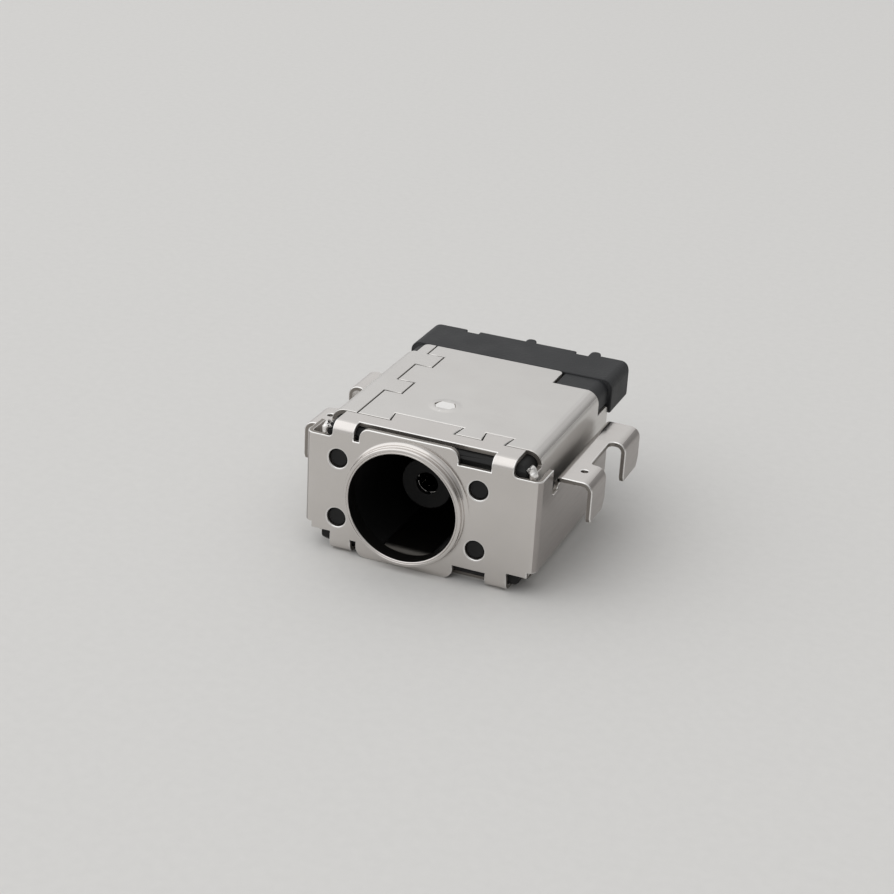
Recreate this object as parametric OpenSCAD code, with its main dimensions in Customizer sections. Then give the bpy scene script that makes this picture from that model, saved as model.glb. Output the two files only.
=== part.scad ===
// Sunk-mount dc barrel jack: a stamped and folded metal shell round a moulded socket.
// Frame: the origin is on the bore axis, on the front face of the front plate.
// +Z is up, +X is right seen from the front, and the plug comes in along +Y.

/* [Socket] */
// inner diameter of the drawn collar and of the bore behind it
bore_d = 6.3; // [6.0:0.05:6.6]
// depth of the bore behind the front face of the plate
bore_depth = 9.8; // [9:0.1:10.4]
// distance that the drawn collar stands in front of the plate
collar_len = 0.63; // [0.4:0.01:1]
// wall of the drawn collar at its lip
collar_t = 0.33; // [0.25:0.01:0.4]
// radius of the fillet where the collar rises from the plate
collar_fillet = 0.22; // [0.1:0.01:0.3]
// diameter of the centre post
post_d = 3; // [2.7:0.05:3.4]
// distance from the front face of the plate to the end of the post
post_setback = 2.92; // [2.9:0.02:4]
// diameter of the pin hole in the end of the post
pin_hole_d = 1.3; // [1:0.05:1.5]
// length of the moulded nose in front of the metal sleeve of the post
nose_len = 0.7; // [0.5:0.05:1]

/* [Front bracket] */
// thickness of the stamped sheet of the bracket and the shell
sheet_t = 0.28; // [0.25:0.01:0.32]
// gap between a wing and the side wall of the shell
wing_gap = 0.38; // [0.3:0.01:0.45]
// distance from the bore axis to the middle of the bracket
bore_shift = 0.78; // [0.6:0.02:1]
// outer radius of the bends from the plate to the wings
side_bend_r = 0.45; // [0.4:0.01:0.55]
// outer radius of the bends from the straps to the top and bottom flaps
strap_bend_r = 0.6; // [0.5:0.01:0.7]
// distance from the middle of the bracket to the inner edge of a strap
strap_in = 4; // [3.85:0.01:4.1]
// width of a strap
strap_w = 1.27; // [1.15:0.01:1.35]
// width of the tongue between the straps
tongue_w = 5.82; // [5.4:0.01:6]
// corner radius of the tongue
tongue_r = 0.6; // [0.4:0.01:0.8]
// width of the slot between the tongue and the flap behind it
slot_w = 0.48; // [0.4:0.01:0.6]
// depth of the relief cuts below the top edge of the bracket
relief_h = 0.86; // [0.7:0.01:0.95]
// depth of the relief cuts at the two bottom corners of the plate
corner_cut_h = 1.15; // [0.95:0.01:1.3]
// radius in the lower corner of each opening beside a strap
opening_r = 0.25; // [0.1:0.01:0.25]
// diameter of the four holes round the collar
peg_hole_d = 1.12; // [1:0.01:1.2]
// distance between the hole centres across the plate
peg_pitch_x = 8.24; // [8.1:0.01:8.4]
// distance between the hole centres up the plate
peg_pitch_z = 3.58; // [3.2:0.01:4]

/* [Flanges and legs] */
// height of the seat on the board above the bore axis
seat_z = 1.88; // [1.7:0.01:2]
// distance from the outer face of a wing to the outer face of its legs
leg_reach = 1.71; // [1.5:0.01:1.9]
// distance that both sets of legs stand to the right of the middle
leg_shift = 0.18; // [0:0.01:0.2]
// inner radius of the bend from a wing to its flange
flange_bend_r = 0.15; // [0.1:0.01:0.2]
// outer radius of the bend from a flange to its legs
leg_bend_r = 0.6; // [0.5:0.01:0.7]
// distance from the plate to the front edge of a flange
flange_front = 2.95; // [2.8:0.01:3.1]
// distance from the plate to the rear edge of a flange
flange_rear = 11.4; // [11.2:0.01:11.6]
// width of a front leg
front_leg_w = 2.4; // [2:0.01:2.6]
// width of a rear leg
rear_leg_w = 2.65; // [2.3:0.01:2.9]
// size of the bevels at the tip of a leg
leg_bevel = 0.3; // [0.2:0.01:0.4]
// distance from the seat to the tip of a leg
leg_drop = 2.08; // [1.9:0.01:2.3]
// depth of the rounded notch in the edge of a flange between its legs
notch_in = 0.36; // [0.3:0.01:0.5]
// corner radius of that notch
notch_r = 0.3; // [0.2:0.01:0.3]
// diameter of the pilot hole in a flange
pilot_d = 0.4; // [0.3:0.01:0.5]
// distance from the pilot hole to the fold of the legs
pilot_in = 0.36; // [0.25:0.01:0.4]
// distance from the front edge of the flange to the pilot hole
pilot_y = 1.4; // [1:0.05:1.6]
// distance from the bore axis down to the lower edge of a wing
wing_drop = 2.4; // [2.2:0.01:2.6]
// distance from the plate to the relief notch of a wing
notch_front = 1.92; // [1.8:0.01:2]
// height of the bottom of that notch above the bore axis
notch_z = 1.5; // [1.4:0.01:1.6]
// corner radius of the bottom of that notch
notch_foot_r = 0.3; // [0.2:0.01:0.4]

/* [Shell] */
// height of the shell over its top and bottom panels
shell_h = 7.78; // [7.7:0.01:7.9]
// width of the shell over its side walls
shell_w = 12.4; // [12.3:0.01:12.5]
// outer radius of the four long bends of the shell
shell_r = 0.8; // [0.7:0.01:0.9]
// distance from the plate to the rear edge of the shell
shell_rear = 13.05; // [12.9:0.01:13.3]
// distance from the plate to the front edge of the side walls of the shell
shell_front = 0.6; // [0.55:0.01:0.7]
// distance from the plate to the seam between flap and shell
seam_y = 1.8; // [1.7:0.01:1.9]
// length of the dovetails across that seam
tab_len = 1; // [0.8:0.01:1.1]
// distance by which each side of a dovetail widens to its end
undercut = 0.14; // [0.1:0.01:0.18]
// width of the wide dovetail at its end
wide_tab_w = 4; // [3.6:0.01:4.2]
// width of the narrow dovetail at its end
narrow_tab_w = 1.55; // [1.4:0.01:1.7]
// open width of the seams
seam_gap = 0.06; // [0.05:0.01:0.08]
// distance from the bore axis left to the long seam
long_seam_x = 3.9; // [3.8:0.01:4]
// width across the long seam of its two dovetails
long_tab_w = 1.06; // [0.9:0.01:1.2]
// distance from the plate to the first dovetail of the long seam
long_tab_y = 5.4; // [5.2:0.01:5.6]
// distance between the two dovetails of the long seam
long_tab_pitch = 4.35; // [4.2:0.01:4.5]
// length of a dovetail of the long seam
long_tab_len = 1.75; // [1.6:0.01:1.9]
// distance from the plate to the right cut-out
cutout_y = 11.2; // [11:0.01:11.4]
// distance from the plate to the left cut-out
cutout_left_y = 11.7; // [11.5:0.01:11.9]
// distance from the bore axis to the right cut-out
cutout_x = 4.15; // [4:0.01:4.3]
// height of the foot of the cut-outs above the bore axis
cutout_z = 2.4; // [2.25:0.01:2.5]
// corner radius of the rear edge of the shell beside the cut-outs
rear_corner_r = 0.35; // [0.2:0.01:0.5]
// distance from the plate to the middle of the dimple on the top panel
dimple_y = 5.05; // [4.8:0.05:5.4]
// diameter of the low swell round the dimple, at its foot
swell_d = 1.9; // [1.7:0.05:2]
// diameter of the flat top of the swell
swell_flat_d = 1.4; // [1.3:0.05:1.6]
// height of the swell
swell_h = 0.04; // [0.02:0.01:0.08]
// width of the six-sided mark that the punch leaves in the dimple
dimple_w = 1.2; // [1:0.05:1.25]
// width of the mark's front and rear sides
dimple_flat = 0.8; // [0.6:0.05:0.9]
// length of the mark along the jack
dimple_l = 0.8; // [0.6:0.05:0.85]
// slope of the mark's floor, which is deepest at the front
dimple_tilt = 9; // [5:0.5:10]

/* [Mouldings] */
// clearance between a moulding and the sheet or piece beside it
fit_gap = 0.03; // [0.02:0.005:0.05]
// distance by which the bore of the housing is wider all round than the collar
bore_relief = 0.17; // [0.16:0.01:0.2]
// diameter of the four pegs of the housing
peg_d = 1; // [0.9:0.01:1.05]
// distance from the front face of the plate to the ends of the pegs
peg_recess = 0.16; // [0.15:0.01:0.2]
// distance from the plate to the back of the rear cover
cover_rear = 16.45; // [16.2:0.05:16.8]
// width of the rear cover
cover_w = 12.7; // [12.6:0.01:12.8]
// radius of the long upper edges of the rear cover
cover_r = 0.6; // [0.4:0.01:0.8]
// radius of the upright rear corners of the rear cover
cover_corner_r = 0.3; // [0.2:0.01:0.6]
// distance that the two ribs stand behind the rear cover
cover_rib = 0.5; // [0.4:0.01:0.6]
// width of those ribs
rib_w = 0.62; // [0.5:0.01:0.7]
// distance from the middle of the cover to the right rib
rib_right = 4.1; // [4:0.01:4.3]
// depth of the two recesses in the back of the rear cover
cover_recess = 0.35; // [0.2:0.01:0.45]
// width of those recesses
recess_w = 0.8; // [0.6:0.01:0.85]
// distance from the middle of the cover to the near side of the right recess
recess_right = 2.98; // [2.8:0.01:3.1]
// distance from the middle of the cover to the far side of the left recess
recess_left = 4.05; // [3.9:0.01:4.2]
// distance by which the arms of the cover stand back from the outside of the shell
arm_drop = 0.1; // [0.05:0.01:0.14]
// depth to which the post core is let into the back of the bore
core_seat = 1.2; // [1:0.05:1.3]

/* [Contacts] */
// thickness of the contact sheet
contact_t = 0.28; // [0.25:0.01:0.3]
// depth to which the metal sleeve of the post is let into the back of the bore
sleeve_seat = 0.8; // [0.6:0.05:0.9]
// wall of the centre socket
socket_wall = 0.2; // [0.15:0.01:0.24]
// length of the slits that make the centre socket springy
slit_len = 2.6; // [2:0.1:3.5]
// width of those slits
slit_w = 0.16; // [0.1:0.01:0.2]
// diameter of the rivet end of the centre socket
rivet_d = 0.6; // [0.5:0.01:0.7]
// width of the sleeve spring in the floor of the bore
spring_w = 2.8; // [2.6:0.05:3]
// distance by which the free spring stands inside the collar's bore
spring_rise = 0.2; // [0.15:0.01:0.25]
// outer radius of the curled nose of the sleeve spring
nose_r = 0.5; // [0.45:0.01:0.55]
// distance from the plate to the foot of the sleeve spring
spring_foot_y = 5; // [4.5:0.1:6]
// distance from the bore axis left to the strip that leads the sleeve spring out
strip_x = 2.7; // [2.5:0.01:2.9]
// width of a terminal tail
tail_w = 0.8; // [0.7:0.01:0.9]
// distance from the rear of the shell to the front row of tails
tail_row = 1.2; // [1:0.05:1.4]

/* [Hidden] */
smooth = 96;
eps = 0.01;
far = 30;

bore_r = bore_d / 2;
top_z = shell_h / 2;
mid_x = bore_shift;
wing_out = shell_w / 2 + wing_gap + sheet_t;
leg_out = wing_out + leg_reach;
strap_out = strap_in + strap_w;
strap_mid = strap_in + strap_w / 2;
relief_z = top_z - relief_h;
slot_y = sheet_t + slot_w;
flange_z = seat_z + sheet_t;
leg_root_z = flange_z - leg_bend_r;
leg_spans = [
    [flange_front, flange_front + front_leg_w],
    [flange_rear - rear_leg_w, flange_rear]
];
tip_z = seat_z - leg_drop;
shell_in_w = shell_w - 2 * sheet_t;
shell_in_h = shell_h - 2 * sheet_t;
side_top_z = top_z - shell_r;
cutout_left_x = mid_x - shell_w / 2 + shell_r;
housing_front = sheet_t + fit_gap;
housing_top = shell_in_h / 2 - fit_gap;
cover_front = shell_rear + fit_gap;
post_r = post_d / 2;
core_r = post_r - contact_t - fit_gap;
sleeve_front = post_setback + nose_len;
sleeve_rear = bore_depth + sleeve_seat;
core_rear = bore_depth + core_seat;
pin_hole_r = pin_hole_d / 2;
socket_out_r = pin_hole_r + socket_wall;
socket_front = sleeve_front - nose_len / 2;
strap_plate_y = core_rear + fit_gap;
run_z = seat_z + 2 * contact_t;
tail_y = shell_rear + tail_row;
blade_tail_y = tail_y + tail_w;
floor_z = -shell_in_h / 2 + fit_gap;
crest_z = -bore_r + spring_rise;

// A sheet profile drawn in x and z, standing up with its back at y and thickness t in front of it.
module stand(y, t) {
    translate([0, y, 0])
        rotate([90, 0, 0])
            linear_extrude(t)
                children();
}

// A profile drawn in y and z, extruded towards +X from x by t.
module side_plate(x, t) {
    translate([x, 0, 0])
        rotate([90, 0, 90])
            linear_extrude(t)
                children();
}

// A body turned round the bore axis, drawn as radius and distance behind the plate.
module turned() {
    rotate([-90, 0, 0])
        rotate_extrude($fn = smooth)
            children();
}

// A round bar along +Y from y0 to y1.
module bar(x, z, y0, y1, d) {
    translate([x, y0, z])
        rotate([-90, 0, 0])
            cylinder(h = y1 - y0, d = d, $fn = smooth);
}

// A quarter of a ring of sheet, from +X round to +Y, standing along z.
module quarter_bend(r_out, t, len) {
    rotate_extrude(angle = 90, $fn = smooth)
        translate([r_out - t, 0])
            square([t, len]);
}

// A rectangle about its middle with all its corners rounded.
module soft_rect(w, h, r) {
    square([w - 2 * r, h], center = true);
    square([w, h - 2 * r], center = true);
    for (sx = [-1, 1])
        for (sz = [-1, 1])
            translate([sx * (w / 2 - r), sz * (h / 2 - r)])
                circle(r, $fn = smooth);
}

// The six-sided outline of the punch, with its rear side on the x axis.
module punch_mark() {
    polygon([
        [-dimple_flat / 2, 0],
        [-dimple_w / 2, -dimple_l / 2],
        [-dimple_flat / 2, -dimple_l],
        [dimple_flat / 2, -dimple_l],
        [dimple_w / 2, -dimple_l / 2],
        [dimple_flat / 2, 0]
    ]);
}

// A rectangle on the x axis with its two upper corners rounded.
module arched_rect(w, h, r) {
    translate([-w / 2, 0])
        square([w, h - r]);
    translate([-w / 2 + r, 0])
        square([w - 2 * r, h]);
    for (s = [-1, 1])
        translate([s * (w / 2 - r), h - r])
            circle(r, $fn = smooth);
}

// The same thing above the bore axis and, mirrored, below it.
module top_and_bottom() {
    children();
    mirror([0, 0, 1])
        children();
}

// A dovetail along +Y from its root, w wide at its end and grown by g all round.
module dovetail(w, len, g) {
    half = w / 2 + g;
    polygon([
        [-half + undercut, -eps], [half - undercut, -eps],
        [half, len + g], [-half, len + g]
    ]);
}

// The two dovetails of a flap, grown by g.
module flap_tabs(g) {
    translate([0, seam_y])
        dovetail(wide_tab_w, tab_len, g);
    translate([mid_x + strap_in - narrow_tab_w / 2 + undercut, seam_y])
        dovetail(narrow_tab_w, tab_len, g);
}

// The flat of the front plate between its side bends, with tongues and straps.
module plate_outline() {
    flat_w = 2 * (wing_out - side_bend_r);
    low = corner_cut_h - top_z;
    translate([mid_x - flat_w / 2, low])
        square([flat_w, relief_z - low]);
    translate([mid_x - strap_out, -relief_z])
        square([2 * strap_out, relief_z]);
    for (s = [-1, 1])
        mirror([0, (1 - s) / 2])
            strap_and_tongue_outline();
    for (s = [0, 1])
        translate([mid_x, relief_z])
            mirror([s, 0])
                translate([strap_out, 0])
                    inner_corner(opening_r);
}

// A fillet in the corner between the two axes.
module inner_corner(r) {
    difference() {
        translate([-eps, -eps])
            square(r + eps);
        translate([r, r])
            circle(r, $fn = smooth);
    }
}

// The straps up to their bends, and the tongue up to the top of the shell.
module strap_and_tongue_outline() {
    for (s = [-1, 1])
        translate([mid_x + s * strap_mid - strap_w / 2, 0])
            square([strap_w, top_z - strap_bend_r]);
    arched_rect(tongue_w, top_z, tongue_r);
}

// The drawn collar: lip, wall and the fillet at its foot.
module collar_profile() {
    lip_r = collar_t / 2;
    foot_r = bore_r + collar_t + collar_fillet;
    translate([bore_r, lip_r - collar_len])
        square([collar_t, collar_len - lip_r + sheet_t]);
    translate([bore_r + lip_r, lip_r - collar_len])
        circle(lip_r, $fn = smooth);
    difference() {
        translate([bore_r + lip_r, -collar_fillet])
            square([foot_r - bore_r - lip_r, collar_fillet + eps]);
        translate([foot_r, -collar_fillet])
            circle(collar_fillet, $fn = smooth);
    }
}

// One flap behind the straps, in x and y, with its two dovetails.
module flap_outline() {
    difference() {
        translate([mid_x - strap_out, strap_bend_r])
            square([2 * strap_out, seam_y - strap_bend_r]);
        translate([mid_x - strap_in, 0])
            square([2 * strap_in, slot_y]);
    }
    flap_tabs(0);
}

// The bends that carry the two straps into their flap.
module strap_bends() {
    for (s = [-1, 1])
        translate([mid_x + s * strap_mid - strap_w / 2, strap_bend_r, top_z - strap_bend_r])
            rotate([90, 0, 90])
                rotate([0, 0, 90])
                    quarter_bend(strap_bend_r, sheet_t, strap_w);
}

// The wing in y and z: its front part, the relief notch and the long wall under the flange.
module wing_outline() {
    difference() {
        translate([side_bend_r, -wing_drop])
            square([flange_rear - side_bend_r, wing_drop + relief_z]);
        translate([flange_front, seat_z - flange_bend_r])
            square([far, far]);
        translate([(notch_front + flange_front) / 2, far])
            mirror([0, 1])
                arched_rect(flange_front - notch_front + eps, far - notch_z, notch_foot_r);
    }
}

// The flange in x and y between its folds, reach wide, with its pilot hole.
module flange_outline(reach) {
    difference() {
        translate([0, flange_front])
            square([reach, flange_rear - flange_front]);
        translate([reach, (leg_spans[0][1] + leg_spans[1][0]) / 2])
            rotate(90)
                arched_rect(leg_spans[1][0] - leg_spans[0][1], notch_in, notch_r);
        translate([reach - pilot_in, flange_front + pilot_y])
            circle(pilot_d / 2, $fn = smooth);
    }
}

// A leg in y and z between two stations, with bevels at its tip.
module leg_outline(span) {
    polygon([
        [span[0], leg_root_z], [span[1], leg_root_z],
        [span[1], tip_z + 2 * leg_bevel], [span[1] - leg_bevel, tip_z],
        [span[0] + leg_bevel / 2, tip_z], [span[0], tip_z + leg_bevel]
    ]);
}

// One wing with its flange and two folded legs, right of the middle, the legs shifted by shift.
module wing_and_legs(shift) {
    fold_x = wing_out + flange_bend_r;
    leg_fold_x = leg_out + shift - leg_bend_r;
    translate([wing_out - side_bend_r, side_bend_r, -wing_drop])
        rotate([0, 0, -90])
            quarter_bend(side_bend_r, sheet_t, wing_drop + relief_z);
    side_plate(wing_out - sheet_t, sheet_t)
        wing_outline();
    translate([fold_x, flange_rear, seat_z - flange_bend_r])
        rotate([90, 0, 0])
            rotate([0, 0, 90])
                quarter_bend(flange_bend_r + sheet_t, sheet_t, flange_rear - flange_front);
    translate([fold_x, 0, seat_z])
        linear_extrude(sheet_t)
            flange_outline(leg_fold_x - fold_x);
    for (span = leg_spans) {
        translate([leg_fold_x, span[1], leg_root_z])
            rotate([90, 0, 0])
                quarter_bend(leg_bend_r, sheet_t, span[1] - span[0]);
        side_plate(leg_out + shift - sheet_t, sheet_t)
            leg_outline(span);
    }
}

module front_bracket() {
    color("silver")
        difference() {
            union() {
                stand(sheet_t, sheet_t)
                    plate_outline();
                turned()
                    collar_profile();
                top_and_bottom() {
                    strap_bends();
                    translate([0, 0, top_z - sheet_t])
                        linear_extrude(sheet_t)
                            flap_outline();
                }
                translate([mid_x, 0, 0]) {
                    wing_and_legs(leg_shift);
                    mirror([1, 0, 0])
                        wing_and_legs(-leg_shift);
                }
            }
            bar(0, 0, -collar_len - eps, sheet_t + eps, bore_d);
            for (sx = [-1, 1])
                for (sz = [-1, 1])
                    bar(sx * peg_pitch_x / 2, sz * peg_pitch_z / 2, -eps, sheet_t + eps, peg_hole_d);
        }
}

// The slit of the long seam in x and y, stepping round its two dovetails.
module long_seam() {
    difference() {
        union() {
            square([seam_gap, shell_rear + eps]);
            for (i = [0, 1])
                translate([0, long_tab_y + i * long_tab_pitch])
                    square([long_tab_w + seam_gap, long_tab_len + 2 * seam_gap]);
        }
        for (i = [0, 1])
            translate([-eps, long_tab_y + i * long_tab_pitch + seam_gap])
                square([long_tab_w + eps, long_tab_len]);
    }
}

// The two cut-outs of the shell at its rear corners, made smaller by g on each side.
module rear_cut_outs(g) {
    translate([cutout_x + g, cutout_y + g, cutout_z + g])
        cube(far);
    translate([cutout_left_x - g - far, cutout_left_y + g, cutout_z + g])
        cube(far);
}

// What is cut away to round an outer corner at the origin that points to +X and +Y.
module outer_corner(r, h) {
    linear_extrude(h)
        difference() {
            translate([-r, -r])
                square(r + eps);
            translate([-r, -r])
                circle(r, $fn = smooth);
        }
}

module shell_wrap() {
    color("gainsboro")
        difference() {
            union() {
                translate([mid_x, 0, 0])
                    stand(shell_rear, shell_rear - shell_front)
                        difference() {
                            soft_rect(shell_w, shell_h, shell_r);
                            soft_rect(shell_in_w, shell_in_h, shell_r - sheet_t);
                        }
                translate([0, dimple_y, top_z])
                    cylinder(h = swell_h, d1 = swell_d, d2 = swell_flat_d, $fn = smooth);
            }
            translate([0, dimple_y + dimple_l / 2, top_z + swell_h])
                rotate([dimple_tilt, 0, 0])
                    linear_extrude(far)
                        punch_mark();
            // room for the two flaps and their dovetails
            top_and_bottom()
                translate([0, 0, side_top_z])
                    linear_extrude(far) {
                        translate([-far, 0])
                            square([2 * far, seam_y + seam_gap]);
                        flap_tabs(seam_gap);
                    }
            // the long seam
            translate([-long_seam_x, 0, side_top_z])
                linear_extrude(far)
                    long_seam();
            rear_cut_outs(0);
            // the rounded rear corners of the top panel and of the side walls
            translate([0, shell_rear, 0]) {
                translate([cutout_x, 0, cutout_z])
                    outer_corner(rear_corner_r, far);
                translate([cutout_left_x, 0, cutout_z])
                    mirror([1, 0, 0])
                        outer_corner(rear_corner_r, far);
                translate([-far, 0, cutout_z])
                    rotate([90, 0, 90])
                        outer_corner(rear_corner_r, 2 * far);
            }
        }
}

// A contact strip in y and z: up from low at riser_y, back at run_z and down to a tail at back_y.
module strip_profile(riser_y, low, back_y) {
    translate([riser_y, low])
        square([contact_t, run_z - low]);
    translate([riser_y, run_z - contact_t])
        square([back_y - riser_y, contact_t]);
    translate([back_y - contact_t, tip_z])
        square([contact_t, run_z - tip_z]);
}

// The blade of the post sleeve in y and z.
module blade_profile() {
    translate([bore_depth + fit_gap, -core_r / 2])
        square([strap_plate_y - bore_depth, core_r]);
    translate([strap_plate_y, -core_r / 2])
        square([tail_w, run_z + core_r / 2]);
    translate([strap_plate_y, run_z - tail_w])
        square([blade_tail_y + tail_w - strap_plate_y, tail_w]);
    translate([blade_tail_y, tip_z])
        square([tail_w, run_z - tip_z]);
}

module housing() {
    socket_hole = core_rear + contact_t + 2 * fit_gap;
    color("dimgray")
        difference() {
            union() {
                translate([mid_x, 0, 0])
                    stand(shell_rear, shell_rear - housing_front)
                        soft_rect(shell_in_w - 2 * fit_gap, 2 * housing_top, shell_r - sheet_t - fit_gap);
                for (sx = [-1, 1])
                    for (sz = [-1, 1])
                        bar(sx * peg_pitch_x / 2, sz * peg_pitch_z / 2, peg_recess, housing_front + eps, peg_d);
            }
            // the front edges clear the inner radius of the strap bends
            top_and_bottom()
                side_plate(-far, 2 * far)
                    polygon([
                        [0, top_z - strap_bend_r], [housing_front, top_z - strap_bend_r],
                        [strap_bend_r, housing_top], [strap_bend_r, far], [0, far]
                    ]);
            // the bore, and the stepped seat of the post in its back
            bar(0, 0, 0, bore_depth, bore_d + 2 * bore_relief);
            bar(0, 0, bore_depth - eps, sleeve_rear + fit_gap, post_d + 2 * fit_gap);
            bar(0, 0, bore_depth - eps, core_rear + eps, 2 * (core_r + fit_gap));
            // the slot of the sleeve spring, through the floor of the bore
            translate([-spring_w / 2 - fit_gap, housing_front + fit_gap, -far])
                cube([spring_w + 2 * fit_gap, bore_depth, far - bore_r + spring_rise]);
            translate([-strip_x - tail_w / 2 - fit_gap, bore_depth - tail_w, -far])
                cube([strip_x + tail_w / 2, tail_w + 2 * fit_gap + housing_front, far + floor_z + contact_t + fit_gap]);
            translate([-strip_x - tail_w / 2 - fit_gap, bore_depth, -far])
                cube([tail_w + 2 * fit_gap, far, far + floor_z + contact_t + fit_gap]);
            // the slots that the two inner terminals slide into from the rear
            translate([-tail_w / 2 - fit_gap, core_rear, -socket_out_r - fit_gap])
                cube([tail_w + 2 * fit_gap, far, run_z + socket_out_r + 2 * fit_gap]);
            translate([core_r, bore_depth, -core_r / 2 - fit_gap])
                cube([contact_t + 3 * fit_gap, far, run_z + core_r / 2 + 2 * fit_gap]);
            // the notches that the arms of the cover fill
            rear_cut_outs(0);
        }
}

// The rear cover seen from above: rounded rear corners, two recesses and two round-nosed ribs.
module cover_plan() {
    len = cover_rear - cover_front;
    difference() {
        translate([0, cover_front])
            arched_rect(cover_w, len, cover_corner_r);
        for (x = [-recess_left, recess_right])
            translate([x, cover_rear - cover_recess])
                square([recess_w, far]);
    }
    for (x = [0, rib_right])
        translate([x, cover_front])
            arched_rect(rib_w, len + cover_rib, rib_w / 2 - eps);
}

module rear_cover() {
    slot = tail_w + 2 * fit_gap;
    color("dimgray")
        difference() {
            union() {
                intersection() {
                    translate([mid_x, 0, seat_z])
                        linear_extrude(top_z - seat_z)
                            cover_plan();
                    translate([mid_x, 0, seat_z])
                        stand(far, far)
                            arched_rect(cover_w, top_z - seat_z, cover_r);
                }
                // the two arms that key into the cut-outs of the shell and the housing
                intersection() {
                    translate([mid_x, 0, 0])
                        stand(cover_front + eps, far)
                            soft_rect(shell_w - 2 * arm_drop, shell_h - 2 * arm_drop, shell_r - arm_drop);
                    rear_cut_outs(2 * fit_gap);
                }
            }
            // slots for the three terminals, open below and in front
            for (x = [-strip_x, 0])
                translate([x - slot / 2, 0, 0])
                    cube([slot, tail_y + fit_gap, run_z + fit_gap]);
            translate([core_r, 0, 0])
                cube([contact_t + 3 * fit_gap, blade_tail_y + tail_w + fit_gap, run_z + fit_gap]);
        }
}

module post_core() {
    color("dimgray")
        difference() {
            union() {
                bar(0, 0, post_setback, sleeve_front, post_d);
                bar(0, 0, sleeve_front - eps, core_rear, 2 * core_r);
            }
            bar(0, 0, post_setback - eps, core_rear, pin_hole_d);
            bar(0, 0, socket_front - fit_gap, core_rear + eps, 2 * (socket_out_r + fit_gap));
        }
}

module post_sleeve() {
    color("goldenrod") {
        turned()
            translate([core_r + fit_gap, sleeve_front + fit_gap])
                square([contact_t, sleeve_rear - sleeve_front - fit_gap]);
        side_plate(core_r + fit_gap, contact_t)
            blade_profile();
    }
}

module centre_socket() {
    color("gold")
        difference() {
            union() {
                bar(0, 0, socket_front, core_rear, 2 * socket_out_r);
                bar(0, 0, core_rear - eps, strap_plate_y + contact_t, rivet_d);
            }
            bar(0, 0, socket_front - eps, core_rear - socket_out_r, pin_hole_d);
            for (a = [0, 90])
                rotate([0, a, 0])
                    translate([-far / 2, socket_front - eps, -slit_w / 2])
                        cube([far, slit_len, slit_w]);
        }
}

module centre_terminal() {
    color("gold")
        difference() {
            side_plate(-tail_w / 2, tail_w)
                strip_profile(strap_plate_y, -socket_out_r, tail_y);
            bar(0, 0, core_rear, strap_plate_y + far, rivet_d + 2 * eps);
        }
}

module sleeve_spring() {
    nose_y = housing_front + 2 * fit_gap + nose_r;
    turn_y = bore_depth - tail_w + fit_gap;
    riser_y = cover_front + fit_gap;
    color("gold") {
        // the curled nose, the ramp and the foot on the floor of the shell
        translate([-spring_w / 2, nose_y, crest_z - nose_r])
            rotate([90, 0, 90])
                rotate([0, 0, 90])
                    quarter_bend(nose_r, contact_t, spring_w);
        side_plate(-spring_w / 2, spring_w)
            polygon([
                [nose_y - eps, crest_z - contact_t], [spring_foot_y, floor_z],
                [turn_y + tail_w, floor_z], [turn_y + tail_w, floor_z + contact_t],
                [spring_foot_y, floor_z + contact_t], [nose_y - eps, crest_z]
            ]);
        // the strip to the left and out at the rear
        translate([-strip_x - tail_w / 2, turn_y, floor_z])
            cube([strip_x, tail_w, contact_t]);
        translate([-strip_x - tail_w / 2, turn_y, floor_z])
            cube([tail_w, riser_y + contact_t - turn_y, contact_t]);
        side_plate(-strip_x - tail_w / 2, tail_w)
            strip_profile(riser_y, floor_z, tail_y);
    }
}

front_bracket();
shell_wrap();
housing();
rear_cover();
post_core();
post_sleeve();
centre_socket();
centre_terminal();
sleeve_spring();
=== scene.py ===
import math

import bpy
from mathutils import Matrix, Vector


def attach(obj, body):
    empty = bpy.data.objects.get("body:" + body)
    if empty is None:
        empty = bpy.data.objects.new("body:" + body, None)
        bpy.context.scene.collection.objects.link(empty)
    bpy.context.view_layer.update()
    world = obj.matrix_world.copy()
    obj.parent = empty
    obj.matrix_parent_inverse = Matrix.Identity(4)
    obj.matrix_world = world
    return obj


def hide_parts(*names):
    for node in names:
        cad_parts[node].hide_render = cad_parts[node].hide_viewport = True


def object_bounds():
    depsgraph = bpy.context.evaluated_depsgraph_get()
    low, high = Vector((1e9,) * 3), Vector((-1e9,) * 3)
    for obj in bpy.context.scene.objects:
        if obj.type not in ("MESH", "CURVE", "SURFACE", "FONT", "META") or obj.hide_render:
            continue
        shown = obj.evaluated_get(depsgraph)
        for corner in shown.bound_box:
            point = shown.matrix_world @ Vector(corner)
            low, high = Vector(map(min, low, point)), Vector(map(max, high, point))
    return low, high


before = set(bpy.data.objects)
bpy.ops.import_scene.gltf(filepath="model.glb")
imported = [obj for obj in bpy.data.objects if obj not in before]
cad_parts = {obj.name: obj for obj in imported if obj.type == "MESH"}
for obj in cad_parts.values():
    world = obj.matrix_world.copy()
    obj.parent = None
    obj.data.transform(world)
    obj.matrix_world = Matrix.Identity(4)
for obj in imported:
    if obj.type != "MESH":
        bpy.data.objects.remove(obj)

CAD_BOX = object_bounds()

# ---------------------------------------------------------------- Camera
# A long lens a tenth of a metre from the jack, to its right and above, held with a small roll.
# Here and below lengths are written in millimetres, and MM turns them to metres.
MM = 0.001
AZIMUTH = math.radians(21.386)
ELEVATION = math.radians(24.816)
ROLL = math.radians(3.250)
LOOK_AT = Vector((2.221, 0.0, 3.932)) * MM
DISTANCE = 102.741 * MM
FOCAL_LENGTH = 78.297
NEAREST = 1 * MM
FARTHEST = 20

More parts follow.
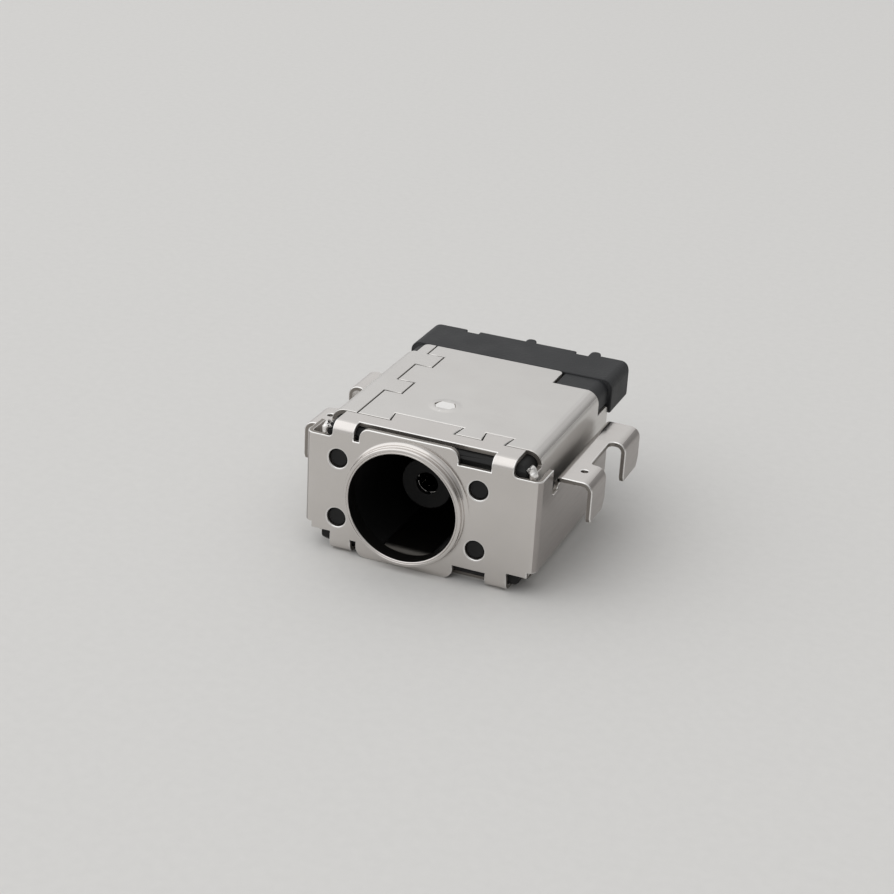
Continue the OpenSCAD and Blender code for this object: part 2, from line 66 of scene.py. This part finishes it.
scene = bpy.context.scene
scene.view_settings.view_transform = "Standard"
camera_data = bpy.data.cameras.new("camera")
camera_data.lens = FOCAL_LENGTH
camera_data.clip_start = NEAREST
camera_data.clip_end = FARTHEST
camera = bpy.data.objects.new("camera", camera_data)
scene.collection.objects.link(camera)
turn = (Matrix.Rotation(AZIMUTH, 4, "Z")
        @ Matrix.Rotation(math.pi / 2 - ELEVATION, 4, "X")
        @ Matrix.Rotation(ROLL, 4, "Z"))
camera.matrix_world = Matrix.Translation(LOOK_AT + turn @ Vector((0, 0, DISTANCE))) @ turn
scene.camera = camera

# ---------------------------------------------------------------- Floor, room and lamp
# The jack stands on a plain pale painted board, in a pale room that is brightest at its upper
# left and dims towards the right, with one large soft lamp high on the left.
FLOOR_SIZE = 4
PAINT_GRAIN = 0.6
BRIGHT_SIDE = Vector((-0.60, 0.0, 0.80))
DIM_AT, BRIGHT_AT = -0.20, 0.78
LAMP_PLACE = (-260, -120, 360)
LAMP_AIM = (0, 6 * MM, 0)
LAMP_SIZE = 950
LAMP_WATTS = 0.80


def linear(hex_colour):
    """An sRGB hex colour as linear red, green, blue and alpha."""
    channels = [int(hex_colour[i:i + 2], 16) / 255 for i in (1, 3, 5)]
    return [c / 12.92 if c <= 0.04045 else ((c + 0.055) / 1.055) ** 2.4 for c in channels] + [1]


def add(tree, kind, inputs=(), **settings):
    """Adds a node with its settings; each input is a value, or an output that is linked to it.
    Inputs go by number where names repeat: a colour mix takes its share at 0 and its colours at
    6 and 7, and a range map takes its value at 0 and its from and to ends at 1, 2, 3 and 4."""
    made = tree.nodes.new(kind)
    for key, value in settings.items():
        setattr(made, key, value)
    for key, value in dict(inputs).items():
        if isinstance(value, bpy.types.NodeSocket):
            tree.links.new(value, made.inputs[key])
        else:
            made.inputs[key].default_value = value
    return made


def start_material(name):
    """A new material, its node tree, its shader and its Object coordinates."""
    made = bpy.data.materials.new(name)
    made.use_nodes = True
    where = add(made.node_tree, "ShaderNodeTexCoord").outputs["Object"]
    return made, made.node_tree, made.node_tree.nodes["Principled BSDF"], where


# Emulsion paint from a roller: flat and pale, with a fine mottle and no shine.
painted_board, tree, shader, where = start_material("painted board")
mottle = add(tree, "ShaderNodeTexNoise",
             {0: where, "Scale": 1 / (PAINT_GRAIN * MM), "Detail": 3.0})
tone = add(tree, "ShaderNodeMix",
           {0: mottle.outputs["Fac"], 6: linear("#D2D1CF"), 7: linear("#D8D7D5")},
           data_type="RGBA")
tree.links.new(tone.outputs[2], shader.inputs["Base Color"])
shader.inputs["Roughness"].default_value = 0.9
shader.inputs["Specular IOR Level"].default_value = 0.2
bpy.ops.object.select_all(action="DESELECT")
bpy.ops.mesh.primitive_plane_add(size=FLOOR_SIZE, location=(0, 0, CAD_BOX[0].z))
floor = bpy.context.object
floor.name = "floor"
floor.data.materials.append(painted_board)

world = bpy.data.worlds.new("room")
world.use_nodes = True
scene.world = world
tree = world.node_tree
direction = add(tree, "ShaderNodeTexCoord").outputs["Generated"]
towards = add(tree, "ShaderNodeVectorMath", {0: direction, 1: BRIGHT_SIDE},
              operation="DOT_PRODUCT")
share = add(tree, "ShaderNodeMapRange", {0: towards.outputs["Value"], 1: DIM_AT, 2: BRIGHT_AT})
room = add(tree, "ShaderNodeMix",
           {0: share.outputs[0], 6: linear("#9C9B9A"), 7: linear("#FFFFFF")}, data_type="RGBA")
tree.links.new(room.outputs[2], tree.nodes["Background"].inputs["Color"])
tree.nodes["Background"].inputs["Strength"].default_value = 1.0

lamp_data = bpy.data.lights.new("key", "AREA")
lamp_data.shape = "DISK"
lamp_data.size = LAMP_SIZE * MM
lamp_data.energy = LAMP_WATTS
lamp = bpy.data.objects.new("key", lamp_data)
lamp.location = Vector(LAMP_PLACE) * MM
lamp.rotation_euler = (Vector(LAMP_AIM) - lamp.location).to_track_quat("-Z", "Y").to_euler()
scene.collection.objects.link(lamp)

# ---------------------------------------------------------------- Front bracket
# Spring steel strip, nickel plated before it is stamped, drawn and folded. The plating is satin
# with fine rolling lines; the die rolls the outer edge of each cut and leaves a dull torn band.
SHEET = 0.28
BORE_R = 3.15
BORE_WALL = BORE_R + 0.01          # what lies nearer to the axis than this is the bore's wall
PEG_X, PEG_Z = 4.12, 1.79
PEG_REACH = 0.7
MIDDLE = Vector((0.96, 8.0, 0.0))  # a point inside the jack, which outer faces look away from
WIDEST_CUT = 0.34
AT_COLLAR = -0.05                  # what lies further forward than this belongs to the collar
ROLLED, HOLE_ROLLED, DEBURRED = 0.06, 0.09, 0.03
MERGE = 0.02
ENLARGE = 100 / MM
SMOOTH = math.radians(38)          # an edge that turns less is part of a bend
WEDGE = math.radians(115)          # an edge that turns more is left as it is
SIDEWAYS = 0.5                     # a side face's normal points more to a side than this
# The plate's real rolling lines and grain are about 0.01 mm and wouldn't show, so both are drawn
# coarser. The clouds, where the plating varies in thickness, are as large as real ones.
LINES, GRAIN, CLOUDS = 0.10, 0.07, 2.4


def plated_metal(name, dark, light, roughness, line_axis):
    """Satin plate: rolling lines along one axis, a cloudy tone and a grain that softens gloss."""
    made, tree, shader, where = start_material(name)
    along = [0.05 if axis == line_axis else 1 for axis in "XYZ"]
    drawn = add(tree, "ShaderNodeMapping", {0: where, 3: along})
    lines = add(tree, "ShaderNodeTexNoise",
                {0: drawn.outputs[0], "Scale": 1 / (LINES * MM), "Detail": 3.0})
    cloud = add(tree, "ShaderNodeTexNoise", {0: where, "Scale": 1 / (CLOUDS * MM), "Detail": 4.0})
    grain = add(tree, "ShaderNodeTexNoise", {0: where, "Scale": 1 / (GRAIN * MM), "Detail": 2.0})
    tone = add(tree, "ShaderNodeMix",
               {0: cloud.outputs["Fac"], 6: linear(dark), 7: linear(light)}, data_type="RGBA")
    tree.links.new(tone.outputs[2], shader.inputs["Base Color"])
    shader.inputs["Metallic"].default_value = 1
    rough = add(tree, "ShaderNodeMapRange", {0: lines.outputs["Fac"], 1: 0.3, 2: 0.7,
                                             3: roughness - 0.04, 4: roughness + 0.05})
    tree.links.new(rough.outputs[0], shader.inputs["Roughness"])
    fine = add(tree, "ShaderNodeBump", {"Strength": 0.18, "Distance": 0.003 * MM,
                                        "Height": grain.outputs["Fac"]})
    wave = add(tree, "ShaderNodeBump", {"Strength": 0.35, "Distance": 0.02 * MM,
                                        "Height": cloud.outputs["Fac"], "Normal": fine.outputs[0]})
    tree.links.new(wave.outputs[0], shader.inputs["Normal"])
    return made


def select_only(piece):
    """Selects one object alone and makes it the active one."""
    bpy.ops.object.select_all(action="DESELECT")
    piece.select_set(True)
    bpy.context.view_layer.objects.active = piece


def merged_copy(node, *finishes):
    """A copy of a node's mesh with its loose triangles merged, and a slot for each finish."""
    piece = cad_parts[node].copy()
    piece.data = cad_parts[node].data.copy()
    piece.name = piece.data.name = node + "_finished"
    scene.collection.objects.link(piece)
    select_only(piece)
    bpy.ops.object.mode_set(mode="EDIT")
    bpy.ops.mesh.select_all(action="SELECT")
    bpy.ops.mesh.remove_doubles(threshold=MERGE * MM)
    bpy.ops.object.mode_set(mode="OBJECT")
    piece.data.materials.clear()
    for finish in finishes:
        piece.data.materials.append(finish)
    return piece


def face_pairs(mesh):
    """Each edge's two faces, and the angle by which the surface turns over it (inwards below 0)."""
    faces_at = {}
    for face in mesh.polygons:
        for key in face.edge_keys:
            faces_at.setdefault(key, []).append(face)
    pairs = {}
    for key, faces in faces_at.items():
        if len(faces) == 2:
            a, b = faces
            angle = a.normal.angle(b.normal, 0)
            outwards = (b.center - a.center).dot(a.normal) < 0
            pairs[key] = (a, b, angle if outwards else -angle)
    return pairs


def cut_faces(mesh, pairs):
    """The faces made by a cut: smooth runs of faces whose mean width, which is twice the area
    over the length of the rim, is little more than the sheet's thickness."""
    run_of = list(range(len(mesh.polygons)))

    def run(i):
        while run_of[i] != i:
            run_of[i] = run_of[run_of[i]]
            i = run_of[i]
        return i

    for a, b, angle in pairs.values():
        if abs(angle) < SMOOTH:
            run_of[run(a.index)] = run(b.index)
    area, rim = {}, {}
    for face in mesh.polygons:
        area[run(face.index)] = area.get(run(face.index), 0) + face.area
    for key, (a, b, angle) in pairs.items():
        if abs(angle) >= SMOOTH:
            length = (mesh.vertices[key[0]].co - mesh.vertices[key[1]].co).length
            for face in (a, b):
                rim[run(face.index)] = rim.get(run(face.index), 0) + length
    return {face.index for face in mesh.polygons
            if 2 * area[run(face.index)] < WIDEST_CUT * MM * rim.get(run(face.index), 0)}


def flatten_faces(piece):
    """Turns the shading of each flat face's rim to the face, so that it looks flat to its edge.
    The modifier ignores faces as small as these, so they are enlarged while it works."""
    piece.data.transform(Matrix.Scale(ENLARGE, 4))
    flat = piece.modifiers.new("flat faces", "WEIGHTED_NORMAL")
    flat.keep_sharp = True
    flat.use_face_influence = True
    flat.weight = 90
    bpy.ops.object.modifier_apply(modifier=flat.name)
    piece.data.transform(Matrix.Scale(1 / ENLARGE, 4))


def round_edges(piece, width_at, widest, segments, rim_finish=-1):
    """Rounds each outward edge by what width_at says of its two faces and its middle, and gives
    the new faces the finish in that slot; -1 leaves them the finish beside them."""
    select_only(piece)
    mesh = piece.data
    pairs = face_pairs(mesh)
    weights = mesh.attributes.new("bevel_weight_edge", "FLOAT", "EDGE")
    for edge in mesh.edges:
        a, b, angle = pairs.get(tuple(sorted(edge.vertices)), (None, None, 0))
        if SMOOTH <= angle <= WEDGE:
            middle = (mesh.vertices[edge.vertices[0]].co + mesh.vertices[edge.vertices[1]].co) / 2
            weights.data[edge.index].value = min(1, width_at(a, b, middle / MM) / widest)
    bevel = piece.modifiers.new("rounded edges", "BEVEL")
    bevel.limit_method = "WEIGHT"
    bevel.width = widest * MM
    bevel.segments = segments
    bevel.material = rim_finish
    bevel.face_strength_mode = "FSTR_ALL"
    bevel.use_clamp_overlap = False
    bevel.loop_slide = False
    bevel.miter_outer = "MITER_ARC"
    bpy.ops.object.modifier_apply(modifier=bevel.name)
    bpy.ops.object.shade_smooth_by_angle(angle=SMOOTH)
    flatten_faces(piece)


# Satin plate on rolled strip: bright and soft, with its gleams drawn out along the strip.
nickel_plate = plated_metal("satin nickel plate", "#CCC8C4", "#D8D4D1", 0.13, "X")
# Bare steel torn by the die: a dull, darker band along each cut.
torn_steel = plated_metal("torn steel edge", "#85807B", "#9F9A94", 0.54, "Z")
# The inside of the collar, scored by the punch that draws it, so it has hardly any gleam; its dark
# colour is painted shade from deep in the bore.
bore_shade_wall = plated_metal("collar wall with painted bore shade", "#4A4846", "#5C5A57", 0.40, "Z")
# Plating pressed smooth by the die, so the rim is glossier; its paler colour is a painted
# highlight, a fine bright line round each cut.
burnished_rim_highlight = plated_metal("burnished rim of a cut with painted highlight", "#E0DEDC", "#EAE9E7", 0.14, "X")
# Wings and legs: a rougher plate than the front, and painted darker as painted shade on the sides
# that face away from the light.
side_shade_plate = plated_metal("nickel plate with painted side shade", "#A19C99", "#ADA8A5", 0.34, "Y")

PLATE, TORN, BORE_SHADE, RIM_HIGHLIGHT, SIDE_SHADE = range(5)
bracket = merged_copy("front_bracket",
                      nickel_plate, torn_steel, bore_shade_wall, burnished_rim_highlight, side_shade_plate)
cuts = cut_faces(bracket.data, face_pairs(bracket.data))
for face in bracket.data.polygons:
    radius = math.hypot(face.center.x, face.center.z) / MM
    # The bore's faces take the painted bore shade.
    if radius < BORE_WALL:
        face.material_index = BORE_SHADE
    elif face.center.y / MM < AT_COLLAR:
        cuts.discard(face.index)
    elif face.index in cuts:
        face.material_index = TORN
    # Outer side faces take the plate that is painted darker as shade.
    elif abs(face.normal.x) > SIDEWAYS and face.normal.dot(face.center / MM - MIDDLE) > 0:
        face.material_index = SIDE_SHADE


def bracket_edge(a, b, place):
    """The outer edge of a cut is rolled, the inner one is only deburred; the collar has no cut."""
    if place.y < AT_COLLAR:
        return 0
    faces = [face for face in (a, b) if face.index not in cuts]
    if len(faces) != 1 or faces[0].normal.dot(place - MIDDLE) < 0:
        return DEBURRED
    from_peg = math.hypot(abs(place.x) - PEG_X, abs(place.z) - PEG_Z)
    return HOLE_ROLLED if from_peg < PEG_REACH and place.y < SHEET + 0.02 else ROLLED


round_edges(bracket, bracket_edge, HOLE_ROLLED, 3, rim_finish=RIM_HIGHLIGHT)

# The drawn collar, ironed true in the press: a lip with one fine line, a wall with a small step in
# it, and the fillet at its foot. It is spun from its section and joined to the sheet it is part of.
# The plain collar of the copied sheet is drawn in until the new one hides it.
SHEET_FRONT, LIP_BACK, LIP_FRONT = -0.005, -0.3, -0.55
SPIN_STEPS = 180
HIDDEN_R = 3.72
HIDE_FROM, HIDE_TO = 3.20, 3.42
for vertex in bracket.data.vertices:
    x, y, z = vertex.co / MM
    radius = math.hypot(x, z)
    in_collar = y < SHEET_FRONT or radius < BORE_WALL
    if radius < HIDDEN_R and y < SHEET + 0.01 and in_collar:
        inner = min(max(radius, HIDE_FROM), HIDE_TO) / radius
        depth = y if y > SHEET_FRONT else max(y, LIP_FRONT) if y < LIP_BACK else 0.01
        vertex.co = Vector((x * inner, depth, z * inner)) * MM
flatten_faces(bracket)
LIP = [(3.150, 0.27), (3.150, -0.54), (3.157, -0.578), (3.175, -0.606), (3.203, -0.624),
       (3.236, -0.630), (3.252, -0.630), (3.276, -0.606), (3.300, -0.630), (3.370, -0.630),
       (3.413, -0.622), (3.450, -0.597), (3.472, -0.560), (3.480, -0.515), (3.480, -0.410),
       (3.445, -0.385), (3.430, -0.360), (3.430, -0.262)]
WALL_R = 3.48
FOOT_R = 0.22
FOOT = [(WALL_R + FOOT_R * (1 - math.cos(math.radians(a))),
         -FOOT_R + FOOT_R * math.sin(math.radians(a))) for a in range(0, 91, 10)]
HIDDEN = [(HIDDEN_R, 0.02), (HIDDEN_R, 0.27)]
section = LIP + FOOT + HIDDEN
bpy.ops.object.select_all(action="DESELECT")
bpy.ops.mesh.primitive_circle_add(vertices=len(section), radius=MM)
collar = bpy.context.object
for vertex, (radius, y) in zip(collar.data.vertices, section):
    vertex.co = Vector((radius, y, 0)) * MM
bpy.ops.object.mode_set(mode="EDIT")
bpy.ops.mesh.select_all(action="SELECT")
bpy.ops.mesh.spin(steps=SPIN_STEPS, angle=2 * math.pi, center=(0, 0, 0), axis=(0, 1, 0))
bpy.ops.mesh.select_all(action="SELECT")
bpy.ops.mesh.remove_doubles(threshold=0.002 * MM)
bpy.ops.mesh.normals_make_consistent(inside=False)
bpy.ops.object.mode_set(mode="OBJECT")
bpy.ops.object.shade_smooth_by_angle(angle=math.radians(25))
collar.data.materials.append(nickel_plate)
bracket.select_set(True)
bpy.context.view_layer.objects.active = bracket
bpy.ops.object.join()
# The new collar's inner faces take the painted bore shade too.
for face in bracket.data.polygons:
    spots = [bracket.data.vertices[i].co / MM for i in face.vertices]
    if all(math.hypot(spot.x, spot.z) < BORE_WALL for spot in spots):
        face.material_index = BORE_SHADE
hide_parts("front_bracket")
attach(bracket, "root")

# ---------------------------------------------------------------- Wrapped shell
# The same nickel plated steel strip, wrapped round the housing and locked to itself by dovetail
# seams. Its seams are sheared to fit, so their edges are only a little rounded.
MARK = Vector((0, 5.05, 3.89))     # the mark that a six-sided punch leaves in a low swell
MARK_REACH = 0.8
MARK_EDGE = 0.045
SWELL_R = 0.95
FRONT_EDGE, SEAM_EDGE, OTHER_EDGE = 0.08, 0.045, 0.02
SEAMS_FROM, SEAMS_TO = 0.7, 15
FLAT_SIDE = 0.85                   # a side wall's normal points more to a side than this
MARK_FLOOR = (-0.2, -0.14)         # how far the normal of the mark's sloped floor leans forward

# Plate as it leaves the rolls: a broad soft sheen over the top.
rolled_plate = plated_metal("rolled nickel plate", "#D0CDCA", "#DAD8D5", 0.20, "X")
# The same plate where it slides through the folding tool: as pale, but with a blurred sheen.
scuffed_plate = plated_metal("rolled plate scuffed on its sides", "#D0CDCA", "#DAD8D5", 0.38, "Y")

PLATE, TORN, RIM_HIGHLIGHT, SCUFFED = range(4)
shell = merged_copy("shell_wrap", rolled_plate, torn_steel, burnished_rim_highlight, scuffed_plate)
cuts = cut_faces(shell.data, face_pairs(shell.data))
for face in shell.data.polygons:
    face.material_index = TORN if face.index in cuts else PLATE


def shell_edge(a, b, place):
    """The front edge is rolled further than the seams, the rear edge and the punch mark."""
    if (place - MARK).length < MARK_REACH:
        return MARK_EDGE
    faces = [face for face in (a, b) if face.index not in cuts]
    if len(faces) != 1 or faces[0].normal.dot(place - MIDDLE) < 0:
        return OTHER_EDGE
    return FRONT_EDGE if place.y < SEAMS_FROM else SEAM_EDGE


round_edges(shell, shell_edge, FRONT_EDGE, 3, rim_finish=RIM_HIGHLIGHT)
for face in shell.data.polygons:
    centre = face.center / MM
    # In the punch mark the bevels of its rim take the dark torn finish as painted shade, and its
    # sloped floor takes the pale rim finish as a painted highlight.
    if (centre - MARK).length < MARK_REACH:
        if face.material_index == RIM_HIGHLIGHT:
            face.material_index = TORN
        elif MARK_FLOOR[0] < face.normal.y < MARK_FLOOR[1] and abs(face.normal.x) < 0.01:
            face.material_index = RIM_HIGHLIGHT
    elif face.material_index == RIM_HIGHLIGHT and SEAMS_FROM < centre.y < SEAMS_TO:
        face.material_index = PLATE
    elif face.material_index == PLATE and abs(face.normal.x) > FLAT_SIDE:
        face.material_index = SCUFFED
for edge in shell.data.edges:
    ends = [shell.data.vertices[i].co / MM - MARK for i in edge.vertices]
    if all(abs(end.xy.length - SWELL_R) < 0.01 and abs(end.z) < 0.005 for end in ends):
        edge.use_edge_sharp = True
flatten_faces(shell)
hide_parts("shell_wrap")
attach(shell, "root")

# ---------------------------------------------------------------- Curled ends of the wrap
# In the two openings beside the straps the front edge of the wrap is curled inwards over the
# corner bend. The curl is squeezed by the press, so its plating is creased and lumpy.
CURL_R = 0.62
CURL_THICK = 0.23
CURL_Y, CURL_Z = 0.44, 3.09
CREASES = 0.26
CREASE_DEPTH = 0.14
# The same plating over the curl, painted paler than the plate as a painted highlight: the brightest
# spot of the jack, with broken gleams.
curled_plate_highlight = plated_metal("creased nickel plate with painted highlight", "#ECEAE8", "#F6F5F3", 0.30, "Y")
crease = bpy.data.textures.new("creases of the press", "CLOUDS")
crease.noise_scale = CREASES * MM
crease.noise_depth = 1
CURLS = [
    # side, place of its middle, and the angles at which it starts and ends
    ("right", 6.42, -38, 48),
    ("left", -4.44, 132, 218),
]
for side, centre_x, low_angle, high_angle in CURLS:
    bpy.ops.object.select_all(action="DESELECT")
    centre = Vector((centre_x, CURL_Y, CURL_Z)) * MM
    bpy.ops.mesh.primitive_torus_add(location=centre, rotation=(math.pi / 2, 0, 0),
                                     major_radius=CURL_R * MM, minor_radius=CURL_THICK * MM,
                                     major_segments=96, minor_segments=20)
    curl = bpy.context.object
    curl.name = "curled_end_" + side
    bpy.ops.object.transform_apply(location=True, rotation=True, scale=True)
    bpy.ops.object.mode_set(mode="EDIT")
    for angle, sign in ((low_angle, -1), (high_angle, 1)):
        a = math.radians(angle)
        bpy.ops.mesh.select_all(action="SELECT")
        bpy.ops.mesh.bisect(plane_co=centre, plane_no=(-sign * math.sin(a), 0, sign * math.cos(a)),
                            use_fill=True, clear_outer=True)
    bpy.ops.mesh.select_all(action="SELECT")
    bpy.ops.mesh.normals_make_consistent(inside=False)
    bpy.ops.object.mode_set(mode="OBJECT")
    lumps = curl.modifiers.new("creases", "DISPLACE")
    lumps.texture = crease
    lumps.texture_coords = "GLOBAL"
    lumps.strength = CREASE_DEPTH * MM
    lumps.mid_level = 0.55
    bpy.ops.object.modifier_apply(modifier=lumps.name)
    bpy.ops.object.shade_smooth_by_angle(angle=math.radians(50))
    curl.data.materials.append(curled_plate_highlight)
    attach(curl, "root")

# ---------------------------------------------------------------- Housing
# Black glass filled PBT, injection moulded in a spark eroded tool: a fine dull grain, small radii
# on its corners, and four pegs that fill the holes of the front bracket.
HOUSING_EDGE = 0.03
BORE_MOUTH_R = 3.5
FLOW = 1.8


def moulded_plastic(name, dark, light, roughness, grain, depth):
    """Moulded plastic: a spark eroded grain, and a slow change of tone where the glass floats.
    The real grain is finer and shallower than would show, so it is drawn coarser and deeper."""
    made, tree, shader, where = start_material(name)
    pits = add(tree, "ShaderNodeTexNoise", {0: where, "Scale": 1 / (grain * MM), "Detail": 3.0})
    flow = add(tree, "ShaderNodeTexNoise", {0: where, "Scale": 1 / (FLOW * MM), "Detail": 3.0})
    tone = add(tree, "ShaderNodeMix",
               {0: flow.outputs["Fac"], 6: linear(dark), 7: linear(light)}, data_type="RGBA")
    tree.links.new(tone.outputs[2], shader.inputs["Base Color"])
    rough = add(tree, "ShaderNodeMapRange", {0: flow.outputs["Fac"], 1: 0.3, 2: 0.7,
                                             3: roughness - 0.05, 4: roughness + 0.05})
    tree.links.new(rough.outputs[0], shader.inputs["Roughness"])
    shader.inputs["IOR"].default_value = 1.45
    relief = add(tree, "ShaderNodeBump", {"Strength": 0.6, "Distance": depth * MM,
                                          "Height": pits.outputs["Fac"]})
    tree.links.new(relief.outputs[0], shader.inputs["Normal"])
    return made


# Carbon black all through and a dull skin; painted darker than the cap of the same plastic, almost
# black, as painted shade so that the bore looks deep.
housing_plastic_painted_shade = moulded_plastic("black glass filled PBT", "#040404", "#070707", 0.66, 0.12, 0.010)
housing = merged_copy("housing", housing_plastic_painted_shade)


def housing_edge(a, b, place):
    """The corners outside the bore are a little round; those inside it stay sharp."""
    return HOUSING_EDGE if math.hypot(place.x, place.z) > BORE_MOUTH_R else 0


round_edges(housing, housing_edge, HOUSING_EDGE, 2)
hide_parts("housing")
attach(housing, "root")

# ---------------------------------------------------------------- Rear cover
# The same plastic moulded as a cap, with two round nosed ribs and two recesses in its back and an
# arm on each side. It stands free, so it shows more of its grain than the housing does.
COVER_EDGE = 0.07
# Paler than the housing of the same plastic: a dark grey that is painted light from above, with a
# dull sheen on the rounded edges.
cover_plastic_painted_light = moulded_plastic("black glass filled PBT cap",
                                "#1E1F21", "#27282A", 0.62, 0.14, 0.030)
cover = merged_copy("rear_cover", cover_plastic_painted_light)
round_edges(cover, lambda a, b, place: COVER_EDGE, COVER_EDGE, 3)
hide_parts("rear_cover")
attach(cover, "root")

# ---------------------------------------------------------------- Contacts
# The post is a moulded nylon core in a turned brass sleeve, round the turned and slit socket that
# grips the pin of the plug. The terminal is tinned strip, and the spring that presses on the
# plug's barrel is stamped and curled from spring bronze. All are pushed into the housing.

# Black nylon, painted darker still as the shade deep in the bore: a dull black that shows only its
# rim.
core_plastic = moulded_plastic("black nylon with painted bore shade", "#030303", "#050505", 0.70, 0.10, 0.006)
# A plated brass tube painted nearly black as the shade deep in the bore: little more than a shadow.
sleeve_metal = plated_metal("plated brass tube with painted bore shade", "#2E2C2B", "#383634", 0.34, "Y")
# The socket's smooth plated mouth: thin gleams inside the pin hole.
socket_metal = plated_metal("plated brass socket", "#E4E1DD", "#EEEBE8", 0.12, "Y")
# Tin from a bath: pale, with a blurred sheen.
terminal_metal = plated_metal("tinned bronze strip", "#BDBBB8", "#CBCAC7", 0.34, "Y")
# Spring strip painted dark as the shade on the floor of the bore, with a soft gleam.
spring_metal = plated_metal("spring bronze with painted bore shade", "#3F3D3A", "#4B4946", 0.42, "Y")
CONTACTS = [
    # node, finish, slot and the width of its rounded edges
    ("post_core", core_plastic, "core_plastic", 0.06),
    ("post_sleeve", sleeve_metal, "sleeve_metal", 0.04),
    ("centre_socket", socket_metal, "socket_metal", 0.02),
    ("centre_terminal", terminal_metal, "terminal_metal", 0.03),
    ("sleeve_spring", spring_metal, "spring_metal", 0.03),
]
for node, finish, slot, width in CONTACTS:
    piece = merged_copy(node, finish)
    round_edges(piece, lambda a, b, place: width, width, 2)
    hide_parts(node)
    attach(piece, "root")
